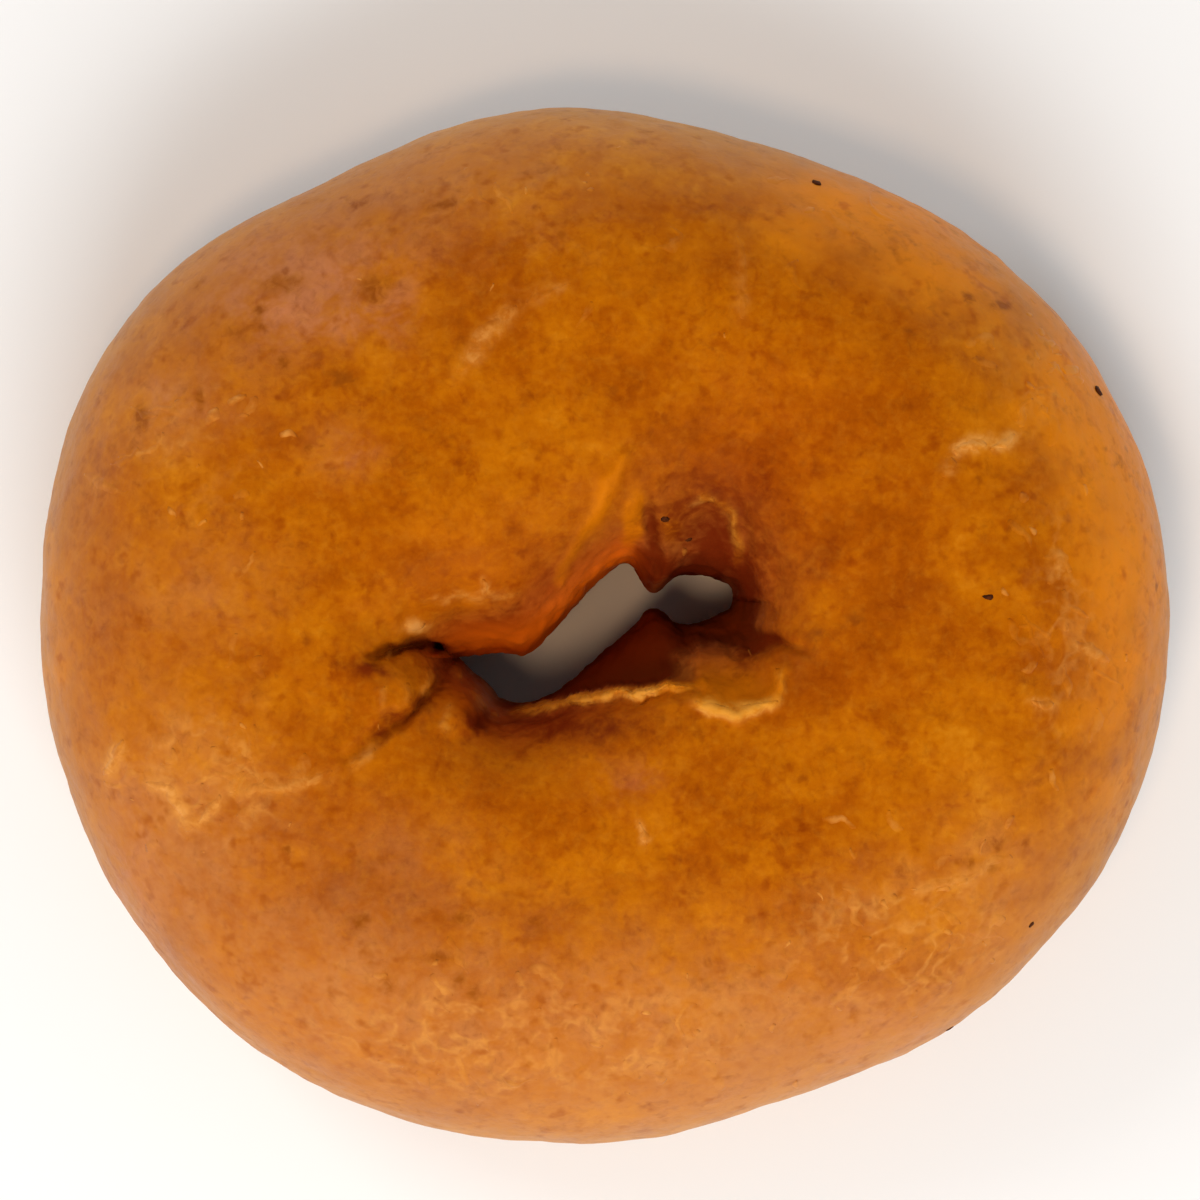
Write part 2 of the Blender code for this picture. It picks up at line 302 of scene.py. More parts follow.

# Warm orange skin low on the side, painted brighter as painted light: (x, y, radius along X, radius
# along Y, strength).
PAINTED_ORANGE_LIGHT = (
    (54.0, 6.0, 8.0, 26.0, 0.75),
    (50.0, 24.0, 8.0, 10.0, 0.7),
    (35.0, 40.0, 12.0, 9.0, 0.75),
    (22.0, 44.0, 9.0, 6.0, 0.55),
    (-57.0, -2.0, 5.0, 16.0, 0.3),
)

# Small brown smudges: (x, y, radius along X, radius along Y, strength).
SMUDGES = (
    (-32.4, -22.3, 0.4, 0.4, 1.2),
    (-22.0, -36.0, 1.0, 1.3, 0.8),
    (-17.0, -33.5, 2.0, 0.6, 0.7),
    (-14.9, -35.7, 0.7, 0.8, 0.9),
    (-13.4, -37.3, 0.8, 0.7, 0.9),
    (-7.8, -39.0, 0.5, 0.4, 1.0),
    (-7.0, -30.3, 1.1, 0.7, 0.7),
    (-14.6, -29.7, 0.9, 0.8, 0.8),
    (-24.7, -29.8, 1.2, 0.9, 0.8),
    (40.5, 32.9, 1.0, 0.5, 1.1),
    (37.1, 33.5, 0.5, 0.8, 0.9),
    (30.6, 30.0, 0.6, 0.5, 0.9),
    (-32.8, 35.1, 3.0, 1.0, 0.6),
    (-23.4, 34.2, 2.2, 1.7, 0.65),
    (-35.0, 32.1, 0.6, 0.6, 0.9),
    (-35.0, 30.4, 1.2, 0.5, 0.9),
    (-37.6, 29.9, 1.5, 0.8, 0.6),
    (-32.6, 26.9, 0.6, 0.6, 1.0),
    (-26.6, 25.2, 1.7, 1.1, 0.8),
    (-29.8, 18.4, 1.4, 0.4, 1.0),
    (-16.9, 43.0, 1.8, 0.6, 0.9),
    (-25.4, 43.7, 1.4, 0.5, 0.8),
    (-41.2, 23.0, 0.5, 1.4, 1.0),
    (-47.2, 21.4, 0.8, 1.5, 0.9),
    (-41.9, 35.1, 0.8, 0.6, 0.7),
    (-15.2, 30.4, 2.5, 3.0, 0.35),
    (42.9, -5.9, 1.6, 1.2, 0.6),
    (21.3, -1.0, 1.2, 0.8, 0.8),
    (25.8, 0.8, 1.0, 0.8, 0.6),
    (36.7, -24.0, 1.0, 0.4, 1.0),
    (39.8, -22.4, 0.8, 0.7, 0.7),
    (39.6, -24.7, 0.8, 0.7, 0.7),
)

# Thinly baked, yellower skin: (x, y, radius along X, radius along Y, strength).
YELLOWS = (
    (13.2, -6.0, 4.4, 2.0, 1.0),
    (6.8, 10.0, 1.2, 1.8, 0.9),
    (3.1, 12.0, 1.1, 3.4, 0.9),
    (-0.6, 12.4, 1.4, 3.8, 0.6),
    (-20.3, -5.8, 2.0, 1.8, 0.5),
    (-15.7, -10.0, 0.8, 1.6, 0.6),
    (-40.5, -14.0, 5.0, 3.0, 0.3),
    (10.0, 36.0, 5.0, 7.0, 0.25),
    (40.0, 19.0, 5.0, 3.0, 0.3),
    (-6.0, -44.0, 8.0, 3.0, 0.25),
)
RIDGE_YELLOW = 0.6  # how yellow the skin is on top of a ridge

# Skin that has baked to a redder brown, with painted shade in the hollow behind the slit's right end:
# (x, y, radius along X, radius along Y, strength).
REDS = (
    (13.0, 14.0, 9.0, 8.0, 0.5),
    (30.0, 8.0, 10.0, 8.0, 0.24),
    (46.0, -2.0, 8.0, 8.0, 0.28),
    (22.0, 24.0, 11.0, 9.0, 0.34),
    (-14.0, 7.0, 9.0, 6.0, 0.42),
    (-5.0, 4.0, 6.0, 5.0, 0.3),
    (-3.0, -8.0, 12.0, 3.5, 0.35),
    (19.0, -5.0, 10.0, 5.0, 0.36),
    (-2.0, -38.0, 12.0, 5.0, 0.25),
    (-28.0, -16.0, 12.0, 8.0, 0.2),
)

# Folded skin near the slit, dark red, with painted shade in its folds and hollows: (x, y, radius along
# X, radius along Y, strength).
DEEP_SHADES = (
    (4.9, 9.8, 0.6, 2.2, 0.35),
    (4.0, 6.0, 1.8, 1.6, 1.3),
    (9.0, 10.0, 5.0, 4.6, 0.5),
    (11.2, 7.4, 1.4, 1.8, 1.0),
    (8.6, 5.6, 4.5, 0.9, 0.7),
    (14.0, 14.0, 6.0, 6.0, 0.2),
    (14.4, 1.8, 1.2, 4.6, 1.0),
    (16.2, -1.6, 2.2, 0.9, 0.7),
    (17.0, 4.0, 3.0, 5.0, 0.25),
    (-13.3, -9.6, 1.1, 0.9, 0.8),
    (-16.6, -4.8, 1.0, 1.8, 0.35),
    (-18.6, -7.6, 1.4, 1.0, 0.5),
    (-20.8, -9.2, 1.6, 1.0, 0.5),
    (-23.0, -10.9, 1.6, 0.8, 0.4),
    (-8.5, -0.2, 5.5, 2.2, 0.55),
    (-14.0, -1.2, 5.0, 1.8, 0.7),
    (-4.0, -10.0, 10.0, 1.9, 0.55),
    (-24.0, -4.3, 1.6, 0.7, 0.5),
    (-27.0, -4.0, 2.4, 0.7, 0.2),
)

# Painted sheen, dull and tan: (x, y, radius along X, radius along Y, strength).
PAINTED_SHEENS = (
    (-33.0, 35.0, 13.0, 8.0, 0.6),
    (-44.0, 22.0, 8.0, 6.0, 0.5),
    (-27.0, 18.0, 5.0, 4.0, 0.35),
    (-40.0, 4.0, 9.0, 7.0, 0.4),
    (-15.0, 46.0, 20.0, 6.0, 0.6),
    (-46.0, -22.0, 10.0, 16.0, 0.6),
    (-30.0, -36.0, 14.0, 10.0, 0.55),
    (0.0, -36.0, 30.0, 9.0, 0.42),
    (-6.0, -47.0, 24.0, 8.0, 0.55),
    (22.0, -44.0, 18.0, 8.0, 0.5),
    (40.0, -26.0, 8.0, 10.0, 0.5),
    (-20.0, -22.0, 9.0, 6.0, 0.3),
    (-38.0, -18.0, 10.0, 9.0, 0.25),
    (26.0, -27.0, 6.0, 5.0, 0.3),
    (17.0, 48.0, 8.0, 4.0, 0.35),
    (-54.0, 6.0, 7.0, 14.0, 0.3),
)

# Painted pinkish sheen: (x, y, radius along X, radius along Y, strength).
PINK_SHEENS = (
    (-30.0, 36.0, 15.0, 8.0, 0.42),
    (-35.0, 32.6, 4.4, 3.6, 0.35),
    (-28.2, 35.4, 3.6, 2.0, 0.2),
    (-21.6, 32.1, 2.6, 3.2, 0.25),
    (-27.3, 30.8, 3.6, 2.2, 0.25),
    (-45.0, 23.5, 3.0, 3.0, 0.35),
    (-39.7, 22.2, 2.8, 1.4, 0.35),
    (-25.5, 17.5, 3.0, 2.2, 0.35),
    (-23.4, 34.8, 2.0, 1.6, -0.4),
    (-32.4, 35.2, 2.2, 0.8, -0.5),
    (-38.5, 29.8, 1.8, 2.4, -0.4),
    (-26.8, 24.8, 2.4, 2.0, -0.4),
    (-14.8, 32.5, 3.0, 3.0, -0.4),
    (-49.0, -25.0, 5.0, 11.0, 0.4),
    (28.0, -42.0, 12.0, 5.0, 0.3),
    (3.0, -16.0, 6.0, 3.0, 0.25),
)

# Burnt grains baked into the skin: (x, y, length, width, turn).
BURNT_GRAINS = (
    (21.8, 45.7, 1.2, 0.8, 90),
    (51.0, 24.3, 1.2, 1.2, 95),
    (38.9, 3.0, 1.2, 0.55, 0),
    (43.9, -30.7, 0.8, 0.6, 40),
    (36.0, -42.0, 0.9, 0.6, 20),
    (6.2, 11.0, 0.8, 0.8, 0),
    (8.6, 8.9, 0.8, 0.5, 0),
)
GRAIN_HEIGHT = 0.4  # as a share of its width

# Unevenness of the skin: (height, size, octaves, shift).
SWELLS = ((0.35, 13.0, 1, 0.0), (0.16, 5.0, 2, 7.0), (0.05, 1.7, 2, 31.0))
SLIT_SWELL = (0.3, 2.0, 3, 90.0)
RELIEF_START = (0.3, 3.0)  # heights between which it begins, above the flat base

# Blisters and pits of the skin: how many, the smallest and largest radius, and height for each radius.
BLISTERS = (420, 0.45, 1.3, 0.09)
PITS = (150, 0.25, 0.5, -0.3)
BLISTERS_CLEAR = 6.0  # how far they stay from the slit's wall
PITS_CLEAR = 3.0
DOTS_LOWEST = 6.0

# Strips of skin, raised from the crust.
STRIP_STEP = 0.18
STRIP_CELLS = 8  # across a strip
STRIP_ROUNDING = 6  # over how many steps its corners are rounded
STRIP_EDGE = 0.012  # how far its edges are sunk
STRIP_EDGE_SHARE = 0.25  # how much further they are sunk, as a share of its height
STRIP_LUMPS = (0.8, 1.2, 2)  # share of its width and height, size, octaves
STRIP_LUMPY = (0.3, 1.7)  # limits of what its lumps leave of them
STRIP_ROOT = 0.4  # how far its keel is sunk
STRIP_DROP = 0.6  # how far below its middle the crust may lie, before the strip ends there
STRIP_BLUR = 0.02  # how near a corner a point has only its looks

# Camera.
CAMERA_DISTANCE = 0.7
SENSOR_WIDTH = 36.0
FRAME_WIDTH = 0.1256  # what the picture spans at the height where the side stands out furthest
FRAME_MIDDLE = (-0.0005, 0.0027)  # from the middle of the bagel

# Surroundings.
FLOOR_HALF_SIDE = 3000.0
HORIZON = 1.15  # brightness of the surroundings at eye level and overhead
ZENITH = 0.14
FLOOR_COLOUR = (0.84, 0.88, 0.9, 1.0)

# Soft boxes: (name, place, width and height, watts, whether it shines in the crust, colour).
LIGHTS = (
    ("key", (0.05, -0.62, 0.62), (0.6, 0.35), 5.0, True, (1.0, 1.0, 1.0)),
    ("side", (-0.55, 0.4, 0.62), (0.35, 0.35), 1.8, True, (1.0, 1.0, 1.0)),
    ("overhead", (-0.13, -0.21, 0.93), (0.16, 0.16), 2.0, False, (0.97, 0.58, 0.32)),
)


def mix(start, end, share):
    return start + (end - start) * share


def smooth_step(start, end, value):
    share = np.clip((value - start) / (end - start), 0.0, 1.0)
    return share * share * (3.0 - 2.0 * share)


def angle_between(first, second):
    return (first - second + 180.0) % 360.0 - 180.0


def smooth_through(stations, x):
    """The other values of a row of stations at x, on a smooth curve through all of them."""
    table = np.array(stations)
    places, values = table[:, 0], table[:, 1:]
    last = len(places) - 1
    i = np.clip(np.searchsorted(places, x) - 1, 0, last - 1)
    before, after = np.maximum(i - 1, 0), np.minimum(i + 2, last)
    span = places[i + 1] - places[i]
    t = np.clip((x - places[i]) / span, 0.0, 1.0)[..., None]
    span = span[..., None]
    slope = (values[i + 1] - values[before]) / (places[i + 1] - places[before])[..., None] * span
    slope_end = (values[after] - values[i]) / (places[after] - places[i])[..., None] * span
    found = (
        (2 * t**3 - 3 * t**2 + 1) * values[i]
        + (t**3 - 2 * t**2 + t) * slope
        + (3 * t**2 - 2 * t**3) * values[i + 1]
        + (t**3 - t**2) * slope_end
    )
    return np.moveaxis(found, -1, 0)


def outline(directions):
    """The bagel's outline, seen from above: LENGTH by WIDTH, with its middle at the origin."""
    angle = np.radians(directions)
    radius = LENGTH * WIDTH / 2 / np.hypot(WIDTH * np.cos(angle), LENGTH * np.sin(angle))
    for centre, spread, swell in OUTLINE_SWELLS:
        radius += swell * np.exp(-0.5 * (angle_between(directions, centre) / spread) ** 2)
    fitted = []
    for size, values in ((LENGTH, radius * np.cos(angle)), (WIDTH, radius * np.sin(angle))):
        fitted.append(size * ((values - values.min()) / np.ptp(values) - 0.5))
    return fitted


def slit_wall(directions):
    """The slit's wall at its narrowest, in the columns of those directions."""
    angle = np.radians(directions)
    x = mix(SLIT[0][0], SLIT[-1][0], 0.5 + 0.5 * np.cos(angle))
    middle, half_width = smooth_through(SLIT, x)
    side = np.sign(np.sin(angle)) * np.abs(np.sin(angle)) ** SLIT_END_ROUNDNESS
    return x, middle + half_width * side


def distance_to_path(x, y, path):
    """The distance from each point to a line through points, and how far along it that is."""
    nearest, along = np.full(x.shape, np.inf), np.zeros(x.shape)
    for i, ((x0, y0), (x1, y1)) in enumerate(zip(path, path[1:])):
        dx, dy = x1 - x0, y1 - y0
        share = np.clip(((x - x0) * dx + (y - y0) * dy) / (dx * dx + dy * dy), 0.0, 1.0)
        distance = np.hypot(x - x0 - share * dx, y - y0 - share * dy)
        closer = distance < nearest
        nearest = np.where(closer, distance, nearest)
        along = np.where(closer, (i + share) / (len(path) - 1), along)
    return nearest, along


def lip_sink(x, y):
    """How far inside the torn lip a point in front of the slit is, 0 to 1."""
    (lip_y,) = smooth_through(LIP, np.clip(x, LIP[0][0], LIP[-1][0]))
    (fade_in, full), (still_full, gone) = LIP_FADES
    step = smooth_step(-LIP_EDGE / 2, LIP_EDGE / 2, y - lip_y)
    bowl = mix(smooth_step(*BOWL_DROP, y - lip_y), smooth_step(*BOWL_RIM, y - lip_y), BOWL_SHARE)
    sink = mix(step, bowl, smooth_step(*BOWL_START, x))
    return sink * smooth_step(fade_in, full, x) * (1.0 - smooth_step(still_full, gone, x))


def crown_kept(x, y, in_front):
    """The share of the crown's height that its relief leaves at a point."""
    kept = np.ones(x.shape)
    for cx, cy, rx, ry, depth, sharpness in DENTS:
        distance = np.hypot((x - cx) / rx, (y - cy) / ry)
        kept *= 1.0 - depth * np.exp(-(distance**sharpness))
    for cx, cy, radius, height in LOBES:
        kept *= 1.0 + height * np.exp(-((x - cx) ** 2 + (y - cy) ** 2) / radius**2)
    for path, half_width, depth_start, depth_end in CREASES:
        distance, along = distance_to_path(x, y, path)
        kept *= 1.0 - mix(depth_start, depth_end, along) * np.exp(-((distance / half_width) ** 2))
    for path, half_width, height in RIDGES:
        distance, _ = distance_to_path(x, y, path)
        kept *= 1.0 + height * np.exp(-((distance / half_width) ** 2))
    return kept * (1.0 - LIP_DEPTH * in_front * lip_sink(x, y))


def quarter_turn(rows, power=1.0):
    """The angles of a quarter turn, without its first, ending in a right angle."""
    return np.pi / 2 * ((np.arange(rows) + 1) / rows) ** power


def section(directions):
    """Shares of the ring's width, heights, and how far the relief reaches, (columns, rows)."""
    turned = np.cos(np.radians(angle_between(directions, CROWN_HIGH_DIRECTION)))
    top = HEIGHT - CROWN_DIP * (1.0 - turned) / 2
    roll = mix(FRONT_ROLL, BACK_ROLL, 0.5 + 0.5 * np.sin(np.radians(directions)))
    base_start, base_end = BASE_SHARES
    side, outer, foot = (quarter_turn(rows) for rows in (SIDE_ROWS, OUTER_ROWS, FOOT_ROWS))
    inner = quarter_turn(INNER_ROWS, roll / 2)
    base = (np.arange(BASE_ROWS) + 1) / BASE_ROWS
    runs = (
        (mix(base_end, 1.0, np.sin(side)), SIDE_HEIGHT * (1.0 - np.cos(side)), 0.0),
        (
            mix(CROWN_SHARE, 1.0, np.abs(np.cos(outer)) ** (2 / OUTER_ROLL)),
            mix(SIDE_HEIGHT, top, np.sin(outer)),
            1.0,
        ),
        (
            CROWN_SHARE * (1.0 - np.sin(inner) ** (2 / roll)),
            mix(THROAT_HEIGHT, top, np.cos(inner)),
            1.0,
        ),
        (base_start * (1.0 - np.cos(foot)), THROAT_HEIGHT * (1.0 - np.sin(foot)), 0.0),
        (mix(base_start, base_end, base), 0.0 * base, 0.0),
    )
    parts = [np.broadcast_arrays(*run, directions)[:3] for run in runs]
    return [np.concatenate(values, axis=1) for values in zip(*parts)]


def strayed(x, y):
    """Where the ragged features at each point are taken from: a little aside of it."""
    flat = np.stack([x, y, np.zeros(x.shape)], axis=-1)
    return [
        v + RAGGEDNESS * noise_at(flat, RAGGED_SIZE, 3, shift) for v, shift in ((x, 51.0), (y, 77.0))
    ]


def unstrayed(x, y):
    """The points whose ragged features are taken from (x, y)."""
    found_x, found_y = x, y
    for _ in range(3):
        from_x, from_y = strayed(found_x, found_y)
        found_x, found_y = found_x + x - from_x, found_y + y - from_y
    return found_x, found_y


def crust_form():
    """The solid's own form on the fine grid, with ragged creases, and places on it for the looks."""
    directions = np.linspace(0.0, 360.0, COLUMNS, endpoint=False)[:, None]
    share, height, has_relief = section(directions)
    (x0, y0), (x1, y1) = slit_wall(directions), outline(directions)
    x, y = mix(x0, x1, share), mix(y0, y1, share)
    ragged_x, ragged_y = strayed(x, y)
    floor = mix(THROAT_HEIGHT, SIDE_HEIGHT, share)
    in_front = np.sin(np.radians(directions)) < 0.0
    relief = floor + np.maximum(height - floor, 0.0) * crown_kept(ragged_x, ragged_y, in_front)
    form = np.stack([x, y, np.where(has_relief > 0.5, relief, height)], axis=-1)
    return form, share, np.hypot(x - x0, y - y0), in_front, ragged_x, ragged_y


def normals_of(grid):
    """Unit normals of a closed grid, facing out."""
    along = np.roll(grid, -1, axis=0) - np.roll(grid, 1, axis=0)
    around = np.roll(grid, -1, axis=1) - np.roll(grid, 1, axis=1)
    normals = np.cross(along, around)
    return normals / np.maximum(np.linalg.norm(normals, axis=-1, keepdims=True), 1e-9)


def noise_at(grid, size, octaves=1, shift=0.0):
    """Smooth noise from -1 to 1 whose lumps are about as large as size."""
    places = (grid.reshape(-1, 3) / size + shift).tolist()
    found = [noise.fractal(place, 1.0, 2.0, octaves) for place in places]
    return np.array(found).reshape(grid.shape[:-1])


def tears_at(x, y):
    """How torn the skin is at each point, fading to 0 at twice a tear's half width."""
    torn = np.zeros(x.shape)
    for path, half_width, strength in TEARS:
        distance, along = distance_to_path(x, y, path)
        ends = smooth_step(0.0, TEAR_END, along) * (1.0 - smooth_step(1.0 - TEAR_END, 1.0, along))
        near = 1.0 - smooth_step(0.0, 2.0 * half_width, distance)
        torn = np.maximum(torn, strength * mix(0.5, 1.0, ends) * near)
    return torn


def folds_at(x, y):
    """How deep in a crease each point is, 0 to 1."""
    crease_shade = np.zeros(x.shape)
    deepest = max(max(crease[2:]) for crease in CREASES)
    for path, half_width, depth_start, depth_end in CREASES:
        distance, along = distance_to_path(x, y, path)
        depth = mix(depth_start, depth_end, along) / deepest
        crease_shade = np.maximum(crease_shade, depth * np.exp(-((distance / half_width) ** 2)))
    return crease_shade


def ridges_at(x, y):
    """How near the top of a ridge each point is, 0 to 1."""
    ridge = np.zeros(x.shape)
    for path, half_width, _ in RIDGES:
        distance, _ = distance_to_path(x, y, path)
        ridge = np.maximum(ridge, np.exp(-((distance / half_width) ** 2)))
    return ridge


def patches_at(x, y, patches):
    total = np.zeros(x.shape)
    for cx, cy, rx, ry, amount in patches:
        total += amount * np.exp(-(((x - cx) / rx) ** 2) - ((y - cy) / ry) ** 2)
    return total


def dots(form, allowed, count, smallest, largest, height, seed):
    """Round bumps, or pits if height is below zero, at random places of the skin."""
    picks = random.Random(seed)
    points = form.reshape(-1, 3)
    places = np.flatnonzero(allowed.ravel())
    raised = np.zeros(len(points))
    for _ in range(count):
        middle = points[places[picks.randrange(len(places))]]
        radius = mix(smallest, largest, picks.random() ** 2)
        near = np.flatnonzero(np.abs(points[:, 0] - middle[0]) < 2.0 * radius)
        distance = np.linalg.norm(points[near] - middle, axis=1) / radius
        raised[near] += height * radius * np.exp(-(distance**2)) * mix(0.5, 1.0, picks.random())
    return raised.reshape(form.shape[:2])


def make_crust():
    form, share, wall_distance, in_front, x, y = crust_form()
    z = form[..., 2]
    on_top = smooth_step(*CROWN_LOOKS, z)
    inside = share < CROWN_SHARE
    # Near the slit's wall the skin is redder and darker: partly toasted crust, partly painted shade.
    near_slit = np.exp(-((wall_distance / NEAR_SLIT) ** 2)) * inside * on_top
    # The sunken wall inside the lip, which the material paints dark as painted shade under the lip.
    sunken = lip_sink(x, y) * in_front * inside * on_top
    torn = tears_at(x, y) * on_top * (1.0 - smooth_step(*LIP_LOOKS, sunken))
    swell = sum(height * noise_at(form, *lumps) for height, *lumps in SWELLS)
    swell += SLIT_SWELL[0] * noise_at(form, *SLIT_SWELL[1:]) * near_slit
    swell += TEAR_HEIGHT * torn * (1.0 + TEAR_LUMPS[0] * noise_at(form, *TEAR_LUMPS[1:]))
    swell += dots(form, (z > DOTS_LOWEST) & (wall_distance > BLISTERS_CLEAR), *BLISTERS, seed=1)
    swell += dots(form, (z > DOTS_LOWEST) & (wall_distance > PITS_CLEAR), *PITS, seed=2)
    grid = form + normals_of(form) * (swell * smooth_step(*RELIEF_START, z))[..., None]
    in_hole = inside * smooth_step(*HOLE_LOOKS, z)
    front_wall_shade = (1.0 - smooth_step(*FRONT_WALL_TOP, z)) * smooth_step(*FRONT_WALL_LEFT, x)
    back_wall_light = (1.0 - smooth_step(*BACK_WALL_TOP, z)) * (1.0 - smooth_step(*BACK_WALL_RIGHT, x))
    nets = [(*area[:4], area[4] / FULL_NET) for area in WRINKLED]
    looks = {
        "torn": torn,
        "crease_shade": folds_at(x, y) * on_top,
        "browning_and_shading": patches_at(x, y, PATCHES) * on_top,
        "orange_painted_light": patches_at(x, y, PAINTED_ORANGE_LIGHT) * on_top,
        "yellow": (patches_at(x, y, YELLOWS) + RIDGE_YELLOW * ridges_at(x, y)) * on_top,
        "smudged": patches_at(x, y, SMUDGES) * on_top,
        "deep": patches_at(x, y, DEEP_SHADES) * on_top,
        "painted_sheen": patches_at(x, y, PAINTED_SHEENS) * on_top,
        "pink_sheen": patches_at(x, y, PINK_SHEENS) * on_top,
        "sunken": sunken,
        "front_wall_shade": front_wall_shade * in_front * in_hole,
        "back_wall_light": back_wall_light * ~in_front * in_hole,
        "near_slit": near_slit,
        "netted": patches_at(x, y, nets) * on_top,
        "reddened_and_shaded": near_slit + patches_at(x, y, REDS) * on_top,
    }
    made = mesh_object("crust", grid.reshape(-1, 3), grid_faces(*grid.shape[:2]), looks)
    made.data.materials.append(make_crust_material())
    return made


class Ground:
    """The crust, as what the other pieces lie on."""

    def __init__(self, crust):
        mesh = crust.data
        self.points = self.values(mesh.vertices, "co").reshape(-1, 3) / MM
        self.faces = self.values(mesh.polygons, "vertices", 4, np.int32).reshape(-1, 4)
        self.tree = BVHTree.FromPolygons(self.points.tolist(), self.faces.tolist())
        self.looks = {
            layer.name: self.values(layer.data, "value", 1)
            for layer in mesh.attributes
            if layer.data_type == "FLOAT"
        }

    @staticmethod
    def values(items, name, each=3, kind=np.float32):
        found = np.empty(each * len(items), kind)
        items.foreach_get(name, found)
        return found

    def under(self, x, y):
        """The crust's point under (x, y), its normal there and the face that it is on."""
        place, normal, face, _ = self.tree.ray_cast((x, y, 2.0 * HEIGHT), (0.0, 0.0, -1.0))
        return place, normal, face

    def looks_at(self, places, faces):
        """The crust's looks at places on faces of it, each mostly its nearest corner's."""
        corners = self.faces[faces]
        distance = np.linalg.norm(self.points[corners] - places[:, None], axis=-1)
        weights = 1.0 / (distance + STRIP_BLUR)
        weights /= weights.sum(axis=1, keepdims=True)
        return {name: (values[corners] * weights).sum(axis=1) for name, values in self.looks.items()}


def even_line(path, step):
    """Points a step apart along a rounded line, and the direction to the left at each."""
    path = np.array(path)
    places = np.concatenate([[0.0], np.cumsum(np.hypot(*np.diff(path, axis=0).T))])
    along = np.linspace(0.0, places[-1], max(int(places[-1] / step), 4))
    line = np.stack([np.interp(along, places, path[:, axis]) for axis in (0, 1)], axis=-1)
    weights = np.bartlett(2 * STRIP_ROUNDING + 3)[1:-1]
    line = np.pad(line, ((STRIP_ROUNDING, STRIP_ROUNDING), (0, 0)), "reflect", reflect_type="odd")
    line = np.stack([np.convolve(v, weights / weights.sum(), "valid") for v in line.T], axis=-1)
    ahead = np.gradient(line, axis=0)
    left = np.stack([-ahead[:, 1], ahead[:, 0]], axis=-1)
    return line, left / np.linalg.norm(left, axis=1, keepdims=True)


class Strips:
    """Raised strips of skin that take their looks from the crust under them, joined into one mesh."""

    def __init__(self, ground, seed):
        self.ground = ground
        self.picks = random.Random(seed)
        self.polygons, self.smooth = [], []
        self.corners = []  # each its point, the crust's place under it, that place's face, how torn

    @staticmethod
    def pull_back(found):
        """Moves what lies beyond a cliff, across a strip, back to the edge of the cliff."""
        middle = STRIP_CELLS // 2
        for beside, last in ((1, STRIP_CELLS), (-1, 0)):
            for k in range(middle + beside, last + beside, beside):
                drop = (found[middle][0] - found[k][0]).dot(found[middle][1])
                if drop > STRIP_DROP:
                    found[k] = found[k - beside]

    def add(self, path, half_width, height, strength):
        """A strip along a path. It is closed underneath, and its edges are sunk in the crust."""
        line, left = even_line(path, STRIP_STEP)
        shift = self.picks.uniform(0.0, 90.0)
        spots = np.stack([line[:, 0], line[:, 1], np.full(len(line), shift)], axis=-1)
        lumpy = np.clip(1.0 + STRIP_LUMPS[0] * noise_at(spots, *STRIP_LUMPS[1:]), *STRIP_LUMPY)
        taper = np.sin(np.pi * (np.arange(len(line)) + 0.5) / len(line)) ** 0.5
        across = np.linspace(-1.0, 1.0, STRIP_CELLS + 1)
        aside = (half_width * taper * lumpy)[:, None] * across
        x, y = (line[:, None, axis] + left[:, None, axis] * aside for axis in (0, 1))
        x, y = unstrayed(x, y)
        rise, crest = (1.0 - across**2) ** 2, height * taper * lumpy
        ring, start, corners = STRIP_CELLS + 2, len(self.corners), []
        for i in range(len(line)):
            found = [self.ground.under(*spot) for spot in zip(x[i], y[i])]
            if any(place is None for place, _, _ in found):
                return
            self.pull_back(found)
            middle, up, face = found[STRIP_CELLS // 2]
            for k, (place, normal, hit) in enumerate(found):
                lift = mix(-STRIP_EDGE - STRIP_EDGE_SHARE * crest[i], crest[i], rise[k])
                torn = strength * taper[i] * rise[k] ** 0.5
                corners.append((place + normal * lift, place, hit, torn))
            corners.append((middle - up * STRIP_ROOT, middle, face, 0.0))
        for i in range(len(line) - 1):
            for k in range(ring):
                j = (k + 1) % ring
                quad = (ring * i + j, ring * i + k, ring * (i + 1) + k, ring * (i + 1) + j)
                self.polygons.append([start + corner for corner in quad])
                self.smooth.append(k < STRIP_CELLS)
        self.polygons.append([start + k for k in range(ring)])
        self.polygons.append([start + len(corners) - 1 - k for k in range(ring)])
        self.smooth += [False, False]
        self.corners += corners

    def joined(self, name, material):
        points, places, hits, torn = (np.array(values) for values in zip(*self.corners))
        looks = self.ground.looks_at(places, hits)
        looks["torn"] = np.maximum(looks["torn"], torn)
        made = mesh_object(name, points, self.polygons, looks)
        made.data.polygons.foreach_set("use_smooth", self.smooth)
        made.data.materials.append(material)
        return made


def make_torn_skin(ground, material):
    """Ragged strips along the tears."""
    torn = Strips(ground, 3)
    for path, half_width, strength in TEARS:
        torn.add(path, half_width, TEAR_HEIGHT * strength, strength)
    return torn.joined("torn_skin", material)


def make_flecks(ground, material):
    """Short strips where skin has come off."""
    flecks = Strips(ground, 5)
    picks = flecks.picks
    places = list(FLECKS)
    for cx, cy, rx, ry, count in FLECKED:
        for _ in range(count):
            x, y = picks.gauss(cx, AREA_SPREAD * rx), picks.gauss(cy, AREA_SPREAD * ry)
            places.append((x, y, picks.uniform(*FLECK_LENGTH), picks.uniform(0.0, 180.0)))
    for x, y, length, turn in places:
        dx, dy = (length / 2 * f(math.radians(turn)) for f in (math.cos, math.sin))
        strength = picks.uniform(*FLECK_STRENGTH)
        half_width, height = FLECK_HALF_WIDTH * length, FLECK_HEIGHT * length
        flecks.add(((x - dx, y - dy), (x + dx, y + dy)), half_width, height, strength)
    return flecks.joined("flecks", material)


